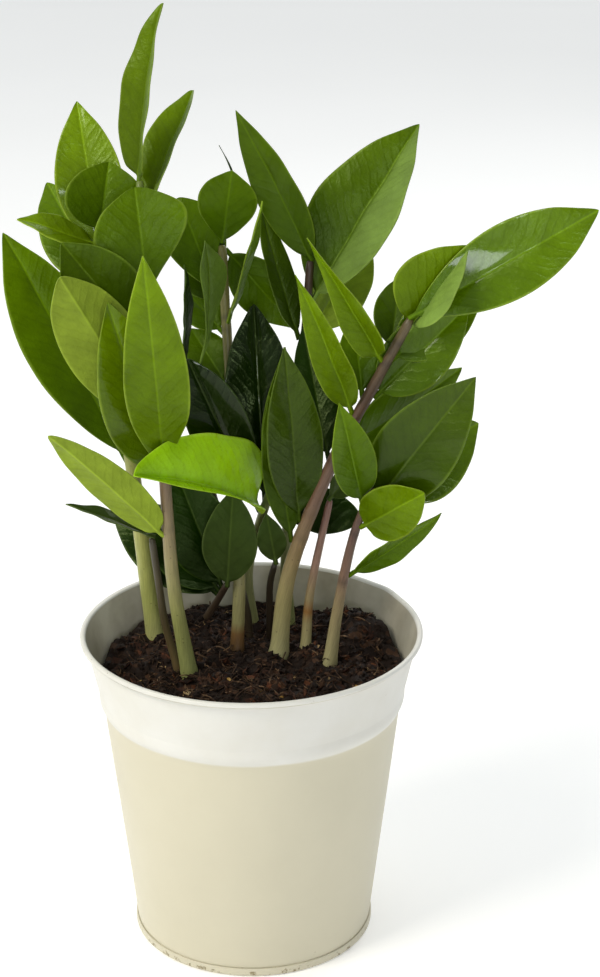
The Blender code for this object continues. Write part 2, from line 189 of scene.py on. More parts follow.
def turned_shell(name, middle, thickness, sectors, finishes, shift):
    """A closed strip round a middle line, turned about Z. Faces inside the pot take the
    second finish. shift(angle, height) moves the sheet out from true."""
    loop = []
    for side in (1, -1):
        run = range(len(middle)) if side == 1 else range(len(middle) - 1, -1, -1)
        for index in run:
            before = middle[max(0, index - 1)]
            after = middle[min(len(middle) - 1, index + 1)]
            along = Vector((after[0] - before[0], after[1] - before[1])).normalized()
            loop.append((middle[index][0] - side * along.y * thickness / 2,
                         middle[index][1] + side * along.x * thickness / 2))
    vertices, faces, inner = [], [], []
    count = len(loop)
    for sector in range(sectors):
        angle = 2 * math.pi * sector / sectors
        signed = angle if angle <= math.pi else angle - 2 * math.pi
        for radius, height in loop:
            reach = radius + shift(signed, height)
            vertices.append((reach * math.cos(angle), reach * math.sin(angle), height))
    for sector in range(sectors):
        here, there = sector * count, (sector + 1) % sectors * count
        for index in range(count):
            following = (index + 1) % count
            faces.append((here + index, here + following, there + following, there + index))
            inner.append(index >= count // 2 and loop[index][1] < POT_HEIGHT - 1.5)
    made = add_piece(name, vertices, faces, finishes)
    made.data.polygons.foreach_set("material_index", [int(flag) for flag in inner])
    repair = bmesh.new()
    repair.from_mesh(made.data)
    bmesh.ops.recalc_face_normals(repair, faces=repair.faces)
    repair.to_mesh(made.data)
    repair.free()
    return made


cream_enamel = enamel("cream_enamel_on_steel", "#CCC6AE", "#DAD9D2", "#C0BAA3", 0.3)
# Inside the pot the enamel is darker and heavily blotched dark brown: stains, and painted shade in the
# pot's hollow.
stained_and_shaded_enamel = enamel("inside_enamel_stained_and_shaded", "#BFBAA6", "#C6C2B0", "#7A6F58", 0.8)

pot_wall = turned_shell("pot_wall_sheet", wall_middle(), SHEET, POT_SECTORS,
                        [cream_enamel, stained_and_shaded_enamel], out_of_round)
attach(pot_wall, ROOT)
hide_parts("pot_wall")

# ---- pot base ----
# A pressed steel plate. Its edge is turned up and rolled over the wall's foot, which
# leaves a narrow chime that scrapes on whatever the pot stands on. Same enamel.

FOOT_RADIUS = 45.6
CHIME_HEIGHT = 3.2
CHIME_ROLL = 0.42
PLATE_HEIGHT = 0.8


def chime_outline():
    """From the plate's middle out, over the rolled chime and back in underneath."""
    outline = [(0, PLATE_HEIGHT), (FOOT_RADIUS - 3, PLATE_HEIGHT), (FOOT_RADIUS - 1.0, PLATE_HEIGHT + 0.1),
               (FOOT_RADIUS - 0.5, PLATE_HEIGHT + 0.6), (FOOT_RADIUS - 0.5, CHIME_HEIGHT - 0.5)]
    for degrees in (150, 110, 70, 30):
        angle = math.radians(degrees)
        outline.append((FOOT_RADIUS - 0.3 + CHIME_ROLL * math.cos(angle),
                        CHIME_HEIGHT - CHIME_ROLL + CHIME_ROLL * math.sin(angle)))
    outline += [(FOOT_RADIUS - 0.05, 2.0), (FOOT_RADIUS + 0.1, 1.2), (FOOT_RADIUS + 0.05, 0.5)]
    return outline + [(FOOT_RADIUS - 0.3, 0.1), (FOOT_RADIUS - 0.8, 0.0), (0, 0)]


def turned_solid(name, outline, sectors, finishes):
    """A solid turned about Z from an outline that starts and ends on the axis."""
    vertices = [(0, 0, outline[0][1]), (0, 0, outline[-1][1])]
    inner = outline[1:-1]
    faces = []
    for sector in range(sectors):
        angle = 2 * math.pi * sector / sectors
        vertices += [(radius * math.cos(angle), radius * math.sin(angle), height)
                     for radius, height in inner]
    for sector in range(sectors):
        here = 2 + sector * len(inner)
        there = 2 + (sector + 1) % sectors * len(inner)
        faces.append((0, here, there))
        faces.append((1, there + len(inner) - 1, here + len(inner) - 1))
        for index in range(len(inner) - 1):
            faces.append((here + index, here + index + 1, there + index + 1, there + index))
    return add_piece(name, vertices, faces, finishes)


pot_base = turned_solid("pot_base_plate", chime_outline(), POT_SECTORS, [cream_enamel])
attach(pot_base, ROOT)
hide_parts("pot_base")

# ---- soil ----
# Potting mix of peat, shredded bark and coir, lumpy, damp in the hollows, heaped a little
# behind the right-hand stems. Filled by hand to 16 mm below the rim.

SOIL_TOP = 106.0
SOIL_BOTTOM = 1.6
SOIL_INSET = 0.55
MOUNDS = (  # rise, middle and reach to the right, middle and reach to the back
    (10.0, 38, 16, 24, 15),
    (2.5, 0, 34, 40, 18),
    (2.0, -2, 18, -34, 12),
    (2.5, -38, 20, 22, 24),
    (-1.5, -40, 12, -12, 16),
)
SOIL_RINGS = 80
SOIL_SECTORS = 220


def soil_radius(height):
    """Radius of the soil at a height: it touches the inside of the tapered wall."""
    share = (height - WALL_FOOT_HEIGHT) / (POT_HEIGHT - WALL_FOOT_HEIGHT)
    return WALL_FOOT_RADIUS + (WALL_TOP_RADIUS - WALL_FOOT_RADIUS) * share - SOIL_INSET


def soil_height(x, y):
    """The top of the soil, mounds and lumps included."""
    here = Vector((x, y, 3.0))
    radius = math.hypot(x, y) / soil_radius(SOIL_TOP)
    height = SOIL_TOP + 1.2 * math.cos(radius * math.pi / 2) - 0.6
    for rise, right, wide, back, deep in MOUNDS:
        height += rise * math.exp(-((x - right) / wide) ** 2 - ((y - back) / deep) ** 2)
    height += (3.0 * noise.noise(here / 11) + 2.0 * noise.noise(here / 4.6)
               + 0.9 * noise.noise(here / 1.9))
    return height


def potting_mix(name, dark, light, brown):
    """Crumbs from black-brown peat to red-brown bark, matt, with damp ones slightly shiny."""
    made, node, shader, place = new_material(name)
    crumbs = node("ShaderNodeTexVoronoi", {"Vector": place, "Scale": 420.0})["Color"]
    pick = node("ShaderNodeSeparateColor", {"Color": crumbs})
    fine = node("ShaderNodeTexNoise", {"Vector": place, "Scale": 260.0, "Detail": 8.0,
                                       "Roughness": 0.75})["Fac"]
    base = node("ShaderNodeMix", {"Factor": fine, 6: linear(dark), 7: linear(light)}, data_type="RGBA")[2]
    chance = node("ShaderNodeMapRange", {"Value": pick["Red"], "From Min": 0.72})[0]
    mixed = node("ShaderNodeMix", {"Factor": chance, 6: base, 7: linear(brown)}, data_type="RGBA")[2]
    damp = node("ShaderNodeMapRange", {"Value": pick["Green"], "To Min": 0.55, "To Max": 0.95})[0]
    bump = node("ShaderNodeBump", {"Height": fine, "Strength": 0.9, "Distance": 0.0012})["Normal"]
    fill(shader, {"Base Color": mixed, "Roughness": damp, "Normal": bump, "Specular IOR Level": 0.2})
    return made


def soil_outline_rings():
    """Vertices and faces of the lumpy plug: middle point, rings of the top, then the side."""
    top_radius = soil_radius(SOIL_TOP)
    vertices = [(0, 0, soil_height(0, 0))]
    rings = [(top_radius * ring / SOIL_RINGS, None) for ring in range(1, SOIL_RINGS + 1)]
    rings += [(soil_radius(60), 60.0), (soil_radius(SOIL_BOTTOM), SOIL_BOTTOM)]
    for radius, level in rings:
        for sector in range(SOIL_SECTORS):
            angle = 2 * math.pi * sector / SOIL_SECTORS
            x, y = radius * math.cos(angle), radius * math.sin(angle)
            vertices.append((x, y, soil_height(x, y) if level is None else level))
    vertices.append((0, 0, SOIL_BOTTOM))
    faces = []
    for sector in range(SOIL_SECTORS):
        after = (sector + 1) % SOIL_SECTORS
        faces.append((0, 1 + sector, 1 + after))
        last = 1 + (len(rings) - 1) * SOIL_SECTORS
        faces.append((len(vertices) - 1, last + after, last + sector))
        for ring in range(len(rings) - 1):
            here, there = 1 + ring * SOIL_SECTORS, 1 + (ring + 1) * SOIL_SECTORS
            faces.append((here + sector, there + sector, there + after, here + after))
    return vertices, faces


dark_mix = potting_mix("damp_potting_mix", "#0B0704", "#281A11", "#432D1D")
soil_vertices, soil_faces = soil_outline_rings()
soil = add_piece("soil_plug", soil_vertices, soil_faces, [dark_mix])
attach(soil, ROOT)
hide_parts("soil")

# ---- loose bits on the soil ----
# Crumbs of peat and bark, curled coir fibres, flat flakes of bark, pale straw and a few
# tan grains of slow feed, lying as they fell. Each kind is strewn over the soil's top.

HALF_TURN = 3.14  # radians


def crumpled(node, body, scale, detail, depth):
    """The body with each point pushed about by soft noise."""
    where = node("GeometryNodeInputPosition")[0]
    bumps = node("ShaderNodeTexNoise", {"Vector": where, "Scale": scale, "Detail": detail})["Color"]
    push = node("ShaderNodeVectorMath", {0: bumps, 1: (0.5, 0.5, 0.5)}, operation="SUBTRACT")[0]
    scaled = node("ShaderNodeVectorMath", {0: push, "Scale": depth}, operation="SCALE")[0]
    return node("GeometryNodeSetPosition", {"Geometry": body, "Offset": scaled})[0]


def shape_crumb(node):
    """A lump with a few dozen faces, one unit across."""
    ball = node("GeometryNodeMeshIcoSphere", {"Radius": 0.5, "Subdivisions": 2})["Mesh"]
    return crumpled(node, ball, 1.9, 1.0, 1.1)


def shape_flake(node):
    """A thin, slightly curled chip, one unit long."""
    slab = node("GeometryNodeMeshCube",
                {"Size": (1.0, 0.55, 0.1), "Vertices X": 6, "Vertices Y": 4, "Vertices Z": 2})["Mesh"]
    return crumpled(node, slab, 1.6, 2.0, 0.7)


def shape_fibre(node):
    """A curled hair of coir, one unit long and 1/15 thick, coarser than life so that it shows."""
    arc = node("GeometryNodeCurveQuadraticBezier",
               {"Resolution": 7, "Start": (-0.5, 0, 0), "Middle": (0.05, 0.42, 0.3),
                "End": (0.5, -0.1, 0.02)})["Curve"]
    ring = node("GeometryNodeCurvePrimitiveCircle", {"Resolution": 4, "Radius": 0.034})["Curve"]
    return node("GeometryNodeCurveToMesh", {"Curve": arc, "Profile Curve": ring, "Fill Caps": True})["Mesh"]


def strewn(name, shape, finish, density, seed, smallest, largest, lean, rings):
    """Shapes strewn over the soil's inner rings by Geometry Nodes, then made one mesh. density
    is how many to a square metre, smallest and largest are in mm, and lean is in radians."""
    tree = bpy.data.node_groups.new(name, "GeometryNodeTree")
    node = partial(add_node, tree)
    tree.interface.new_socket("Geometry", in_out="INPUT", socket_type="NodeSocketGeometry")
    sizes = {"Density": density, "Smallest": smallest * MM, "Largest": largest * MM, "Lean": lean}
    for label in sizes:
        tree.interface.new_socket(label, in_out="INPUT", socket_type="NodeSocketFloat")
    tree.interface.new_socket("Geometry", in_out="OUTPUT", socket_type="NodeSocketGeometry")
    source = node("NodeGroupInput")
    points = node("GeometryNodeDistributePointsOnFaces",
                  {"Mesh": source["Geometry"], "Density": source["Density"], "Seed": seed})["Points"]
    size = node("FunctionNodeRandomValue",
                {2: source["Smallest"], 3: source["Largest"], "Seed": seed + 1}, data_type="FLOAT")[1]
    stretch = node("FunctionNodeRandomValue", {0: (0.6, 0.6, 0.5), 1: (1.2, 1.0, 0.9), "Seed": seed + 2},
                   data_type="FLOAT_VECTOR")[0]
    scale = node("ShaderNodeVectorMath", {0: stretch, "Scale": size}, operation="SCALE")[0]
    tilt = node("ShaderNodeMath", {0: source["Lean"], 1: -1.0}, operation="MULTIPLY")[0]
    least = node("ShaderNodeCombineXYZ", {"X": tilt, "Y": tilt, "Z": -HALF_TURN})[0]
    most = node("ShaderNodeCombineXYZ", {"X": source["Lean"], "Y": source["Lean"], "Z": HALF_TURN})[0]
    turn = node("FunctionNodeRandomValue", {0: least, 1: most, "Seed": seed + 3},
                data_type="FLOAT_VECTOR")[0]
    strewing = node("GeometryNodeInstanceOnPoints",
                    {"Points": points, "Instance": shape(node), "Rotation": turn,
                     "Scale": scale})["Instances"]
    solid = node("GeometryNodeRealizeInstances", {"Geometry": strewing})["Geometry"]
    painted = node("GeometryNodeSetMaterial", {"Geometry": solid, "Material": finish})["Geometry"]
    node("NodeGroupOutput", {"Geometry": painted})
    bed = [face for face in soil_faces if max(face) <= rings * SOIL_SECTORS]
    made = add_piece(name, soil_vertices[:1 + rings * SOIL_SECTORS], bed, [finish])
    scatter = made.modifiers.new("strew", "NODES")
    scatter.node_group = tree
    for item in tree.interface.items_tree:
        if item.in_out == "INPUT" and item.name in sizes:
            scatter[item.identifier] = sizes[item.name]
    graph = bpy.context.evaluated_depsgraph_get()
    mesh = bpy.data.meshes.new_from_object(made.evaluated_get(graph))
    made.modifiers.remove(scatter)
    made.data = mesh
    made.data.name = name
    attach(made, ROOT)


coir_fibre = potting_mix("coir_fibre", "#1A110B", "#4A3524", "#7A6046")
shredded_bark = potting_mix("shredded_bark", "#180E09", "#45291B", "#6A4028")
pale_straw = potting_mix("pale_straw", "#6B5335", "#B79A6C", "#CDB98D")
feed_grain = potting_mix("tan_feed_grains", "#6E5222", "#A98442", "#C7A461")

strewn("soil_crumbs", shape_crumb, dark_mix, 190000, 11, 0.8, 3.4, 3.0, 76)
strewn("soil_bark_chips", shape_flake, shredded_bark, 30000, 21, 1.4, 6.0, 0.9, 74)
strewn("soil_coir_fibres", shape_fibre, coir_fibre, 65000, 31, 3.0, 11.0, 0.7, 72)
strewn("soil_straw", shape_flake, pale_straw, 4500, 41, 1.0, 4.0, 0.6, 72)
strewn("soil_feed_grains", shape_crumb, feed_grain, 700, 51, 1.9, 2.6, 3.0, 72)

# ---- stems ----
# Leaf stems of the plant, smooth and fleshy, thick and pale where they leave the soil,
# browner and thinner above, each with a ring and a slight swelling at every leaflet.

STEM_SIDES = 20
PLANTED_DEPTH = 14.0
POINT_SPACING = 2.5
FOOT_FLARE = 0.2
SWELLING = 0.08  # share of the stem's radius
SCAR_DEPTH = 0.05
SCAR_SHADE = 0.45  # share of the light that a ring takes away


def stem_skin():
    """Waxy green skin: satin, fine streaks along the stem and pin-head brown lenticels."""
    made, node, shader, place = new_material("zz_stem_skin")
    blade = node("ShaderNodeAttribute", attribute_name="skin")["Color"]
    flow = node("ShaderNodeUVMap", uv_map="skin_mm")["UV"]
    long = node("ShaderNodeMapping", {"Vector": flow, "Scale": (2.4, 0.12, 1.0)})["Vector"]
    streaks = node("ShaderNodeTexNoise", {"Vector": long, "Scale": 1.0, "Detail": 4.0,
                                          "Roughness": 0.6})["Fac"]
    shade = node("ShaderNodeMapRange", {"Value": streaks, "From Min": 0.3, "From Max": 0.7, "To Min": 0.74,
                                        "To Max": 1.16})[0]
    streaked = node("ShaderNodeVectorMath", {0: blade, "Scale": shade}, operation="SCALE")[0]
    spots = node("ShaderNodeTexVoronoi", {"Vector": place, "Scale": 520.0})
    dot = node("ShaderNodeMapRange", {"Value": spots["Distance"], "From Min": 0.2, "From Max": 0.1})[0]
    pick = node("ShaderNodeSeparateColor", {"Color": spots["Color"]})["Red"]
    rare = node("ShaderNodeMath", {0: pick, 1: 0.7}, operation="GREATER_THAN")[0]
    marks = node("ShaderNodeMath", {0: dot, 1: rare}, operation="MULTIPLY")[0]
    faint = node("ShaderNodeMath", {0: marks, 1: 0.55}, operation="MULTIPLY")[0]
    skin = node("ShaderNodeMix", {"Factor": faint, 6: streaked, 7: linear("#3A2A18")}, data_type="RGBA")[2]
    bump = node("ShaderNodeBump", {"Height": streaks, "Strength": 0.35, "Distance": 0.0003})["Normal"]
    fill(shader, {"Base Color": skin, "Normal": bump, "Roughness": 0.42})
    return made


zz_stem_skin = stem_skin()


class Stem:
    """A stem above the soil. foot is a share of the soil's radius and a bearing, route its knots
    from there, thick its width at foot and top, skin its colours and scars its leaf rings."""

    def __init__(self, name, foot, route, thick, skin, scars=()):
        share, bearing = foot
        radius = share * soil_radius(SOIL_TOP)
        angle = math.radians(bearing)
        height = SOIL_TOP + 1.5 * math.cos(share * math.pi / 2)
        base = Vector((radius * math.cos(angle), radius * math.sin(angle), height))
        self.name = name
        self.thick = thick
        self.skin = skin
        self.scars = scars
        self.knots = [base] + [base + Vector(step) for step in route]

    def at(self, share):
        """Point and direction at a share of the way up."""
        knots = [2 * self.knots[0] - self.knots[1], *self.knots, 2 * self.knots[-1] - self.knots[-2]]
        lengths = [(knots[i + 2] - knots[i + 1]).length for i in range(len(knots) - 3)]
        reach, span = share * sum(lengths), 0
        while span < len(lengths) - 1 and reach > lengths[span]:
            reach -= lengths[span]
            span += 1
        t = reach / lengths[span]
        before, start, end, after = knots[span:span + 4]
        into, out = (end - before) / 2, (after - start) / 2
        point = ((2 * t ** 3 - 3 * t ** 2 + 1) * start + (t ** 3 - 2 * t ** 2 + t) * into
                 + (3 * t ** 2 - 2 * t ** 3) * end + (t ** 3 - t ** 2) * out)
        way = ((6 * t ** 2 - 6 * t) * start + (3 * t ** 2 - 4 * t + 1) * into
               + (6 * t - 6 * t ** 2) * end + (3 * t ** 2 - 2 * t) * out)
        return point, way.normalized()

    def radius(self, share):
        """Radius at a share of the way up."""
        foot, top = self.thick
        return (foot + (top - foot) * max(0.0, share) ** 0.55) / 2

    def length(self):
        """Length from knot to knot."""
        return sum((b - a).length for a, b in zip(self.knots, self.knots[1:]))

    def colour(self, share):
        """Linear colour at a share of the way up, between the stops in skin."""
        for (low, first), (high, second) in zip(self.skin, self.skin[1:]):
            if share <= high:
                mix = (share - low) / (high - low)
                return [a + (b - a) * mix for a, b in zip(linear(first), linear(second))]
        return list(linear(self.skin[-1][1]))

    def grow(self):
        """The tube, planted end first, with a swelling and a ring at every scar."""
        length = self.length()
        count = max(12, round(length / POINT_SPACING))
        shares = [-PLANTED_DEPTH / length] + [index / count for index in range(count + 1)]
        side = Vector((1, 0, 0))
        vertices, colours, flow, faces = [], [], [], []
        foot, foot_way = self.at(0)
        for share in shares:
            point, way = self.at(max(0.0, share))
            if share < 0:
                point = foot - foot_way * PLANTED_DEPTH
            side = (side - way * side.dot(way)).normalized()
            across = way.cross(side)
            radius = self.radius(share)
            radius += FOOT_FLARE * math.exp(-max(0.0, share) * length / 3.5)
            ring = 0.0
            for scar in self.scars:
                gap = (share - scar) * length
                radius += SWELLING * radius * math.exp(-(gap / 2.0) ** 2)
                ring = max(ring, math.exp(-(gap / 0.8) ** 2))
            radius -= SCAR_DEPTH * ring
            if share >= 1:
                radius *= 0.8
            tone = self.colour(max(0.0, share))
            shade = 1 - SCAR_SHADE * ring
            for step in range(STEM_SIDES):
                angle = 2 * math.pi * step / STEM_SIDES
                out = side * math.cos(angle) + across * math.sin(angle)
                rough = 1 + 0.035 * noise.noise(point / 7 + out * 0.7)
                vertices.append(point + out * radius * rough)
                colours.append([part * shade for part in tone[:3]] + [1.0])
                flow.append((step * radius * 0.32, share * length))
        for row in range(len(shares) - 1):
            for step in range(STEM_SIDES):
                after = (step + 1) % STEM_SIDES
                here, there = row * STEM_SIDES, (row + 1) * STEM_SIDES
                faces.append((here + step, here + after, there + after, there + step))
        faces.append(tuple(range(STEM_SIDES - 1, -1, -1)))
        top, way = self.at(1)
        vertices.append(top + way * self.radius(1) * 0.5)
        colours.append(colours[-1])
        flow.append(flow[-1])
        last = (len(shares) - 1) * STEM_SIDES
        for step in range(STEM_SIDES):
            faces.append((last + step, last + (step + 1) % STEM_SIDES, len(vertices) - 1))
        made = add_piece(self.name + "_skin", vertices, faces, [zz_stem_skin])
        add_layers(made.data, "skin", colours, flow)
        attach(made, ROOT)
        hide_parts(self.name)
        return self


def add_layers(mesh, name, colours, flow):
    """A colour for each vertex, and a UV map in millimetres along the surface."""
    layer = mesh.color_attributes.new(name, "FLOAT_COLOR", "POINT")
    layer.data.foreach_set("color", np.array(colours, dtype=np.float32).ravel())
    corners = np.zeros(len(mesh.loops), dtype=np.int32)
    mesh.loops.foreach_get("vertex_index", corners)
    layout = mesh.uv_layers.new(name=name + "_mm")
    layout.data.foreach_set("uv", np.array(flow, dtype=np.float32)[corners].ravel())


# ---- leaflets ----
# Leathery, waxy leaflets, half a millimetre thick, pointed oval, folded along a sunk
# midrib. New ones are yellow-green, old ones nearly black; the underside is paler and
# matt, the margin a thin pale line of painted highlight. Some halves are clouded pale with a
# painted sheen, and leaflets deep in the clump are coloured darker with painted shade. Each sits
# on a short round stalk of its own.

BLADE_THICKNESS = 0.5
VEIN_SPACING = 5.0
STALKLET = 1.4
PETIOLE_RADIUS = 0.8
MARGIN_HALF_THICKNESS = 0.12
GROOVE, RIB = 0.22, 0.4
UNDERSIDE_GLOSS = 0.25
# Colour of a painted sheen: the pale grey-green glare laid over one half of some glossy leaflets.
PAINTED_SHEEN_COLOUR = "#7E9A48"
ROWS = 44
COLUMNS = (0.0, 0.05, 0.12, 0.22, 0.36, 0.52, 0.68, 0.82, 0.92, 0.97, 1.0)

# The margin colour of each tone is a painted highlight: the thin pale line where a leaflet's edge catches
# the light.
TONES = {  # upper face at the base, upper face at the tip, underside, margin
    "bright": ("#9AC800", "#88B600", "#86A41C", "#B2D244"),
    "fresh": ("#526A00", "#668200", "#84982C", "#A2B83C"),
    "leaf": ("#405A00", "#547000", "#748A22", "#8EA636"),
    "deep": ("#2C4000", "#3E5400", "#58701C", "#76902C"),
    "dark": ("#0A1C00", "#122800", "#2C4010", "#4A6220"),
    "matt": ("#2E3C14", "#2C3E10", "#48582A", "#5E6E38"),
}


def leaf_wax():
    """Cuticle wax over green: glossy above, with a thin clear coat on the shiniest leaves,
    satin below, a pale midrib, side veins every 5 mm that slant to the tip, and blotches."""
    made, node, shader, _ = new_material("zz_leaf_wax")
    blade = node("ShaderNodeAttribute", attribute_name="blade")
    flow = node("ShaderNodeUVMap", uv_map="blade_mm")["UV"]
    axes = node("ShaderNodeSeparateXYZ", {0: flow})
    across = node("ShaderNodeMath", {0: axes["X"]}, operation="ABSOLUTE")[0]
    blotch = node("ShaderNodeTexNoise", {"Vector": flow, "Scale": 0.08, "Detail": 2.0,
                                         "Roughness": 0.5})["Fac"]
    net = node("ShaderNodeTexNoise", {"Vector": flow, "Scale": 0.5, "Detail": 4.0,
                                      "Roughness": 0.65})["Fac"]
    slant = node("ShaderNodeMath", {0: across, 1: -1.15}, operation="MULTIPLY")[0]
    run = node("ShaderNodeMath", {0: axes["Y"], 1: slant}, operation="ADD")[0]
    wander = node("ShaderNodeMath", {0: blotch, 1: 9.0, 2: run}, operation="MULTIPLY_ADD")[0]
    spaced = node("ShaderNodeMath", {0: wander, 1: 1 / VEIN_SPACING}, operation="MULTIPLY")[0]
    swing = node("ShaderNodeMath", {0: spaced, 1: 0.5}, operation="PINGPONG")[0]
    vein = node("ShaderNodeMapRange", {"Value": swing, "From Min": 0.22, "From Max": 0.0})[0]
    midrib = node("ShaderNodeMapRange", {"Value": across, "From Min": 0.55, "From Max": 0.15})[0]
    tone = node("ShaderNodeMapRange", {"Value": blotch, "From Min": 0.3, "From Max": 0.7, "To Min": 0.8,
                                       "To Max": 1.14})[0]
    speck = node("ShaderNodeMapRange", {"Value": net, "From Min": 0.3, "From Max": 0.7, "To Min": 0.93,
                                        "To Max": 1.07})[0]
    gain = node("ShaderNodeMath", {0: tone, 1: speck}, operation="MULTIPLY")[0]
    lined = node("ShaderNodeMath", {0: vein, 1: -0.06, 2: 1.0}, operation="MULTIPLY_ADD")[0]
    total = node("ShaderNodeMath", {0: gain, 1: lined}, operation="MULTIPLY")[0]
    green = node("ShaderNodeVectorMath", {0: blade["Color"], "Scale": total}, operation="SCALE")[0]
    pale = node("ShaderNodeVectorMath", {0: blade["Color"], "Scale": 1.9}, operation="SCALE")[0]
    warm = node("ShaderNodeVectorMath", {0: pale, 1: (0.03, 0.035, 0.006)}, operation="ADD")[0]
    ribbed = node("ShaderNodeMath", {0: midrib, 1: 0.35}, operation="MULTIPLY")[0]
    skin = node("ShaderNodeMix", {"Factor": ribbed, 6: green, 7: warm}, data_type="RGBA")[2]
    gloss = node("ShaderNodeMapRange", {"Value": blade["Alpha"], "To Min": 0.62, "To Max": 0.2})[0]
    varied = node("ShaderNodeMapRange", {"Value": net, "To Min": -0.06, "To Max": 0.06})[0]
    rough = node("ShaderNodeMath", {0: gloss, 1: varied}, operation="ADD")[0]
    relief = node("ShaderNodeMath", {0: vein, 1: -0.25, 2: net}, operation="MULTIPLY_ADD")[0]
    waves = node("ShaderNodeMath", {0: blotch, 1: 3.0, 2: relief}, operation="MULTIPLY_ADD")[0]
    bump = node("ShaderNodeBump", {"Height": waves, "Strength": 0.5, "Distance": 0.0005})["Normal"]
    wet = node("ShaderNodeMapRange", {"Value": blade["Alpha"], "From Min": 0.75, "To Max": 0.25})[0]
    fill(shader, {"Base Color": skin, "Roughness": rough, "Normal": bump, "Coat Weight": wet,
                  "Coat Roughness": 0.08, "Specular IOR Level": 0.24,
                  "Specular Tint": (0.75, 1.0, 0.4, 1.0)})
    return made


zz_leaf_wax = leaf_wax()


def smooth(low, high, value):
    """0 below low, 1 above high, and an even S between them."""
    share = min(1.0, max(0.0, (value - low) / (high - low)))
    return share * share * (3 - 2 * share)


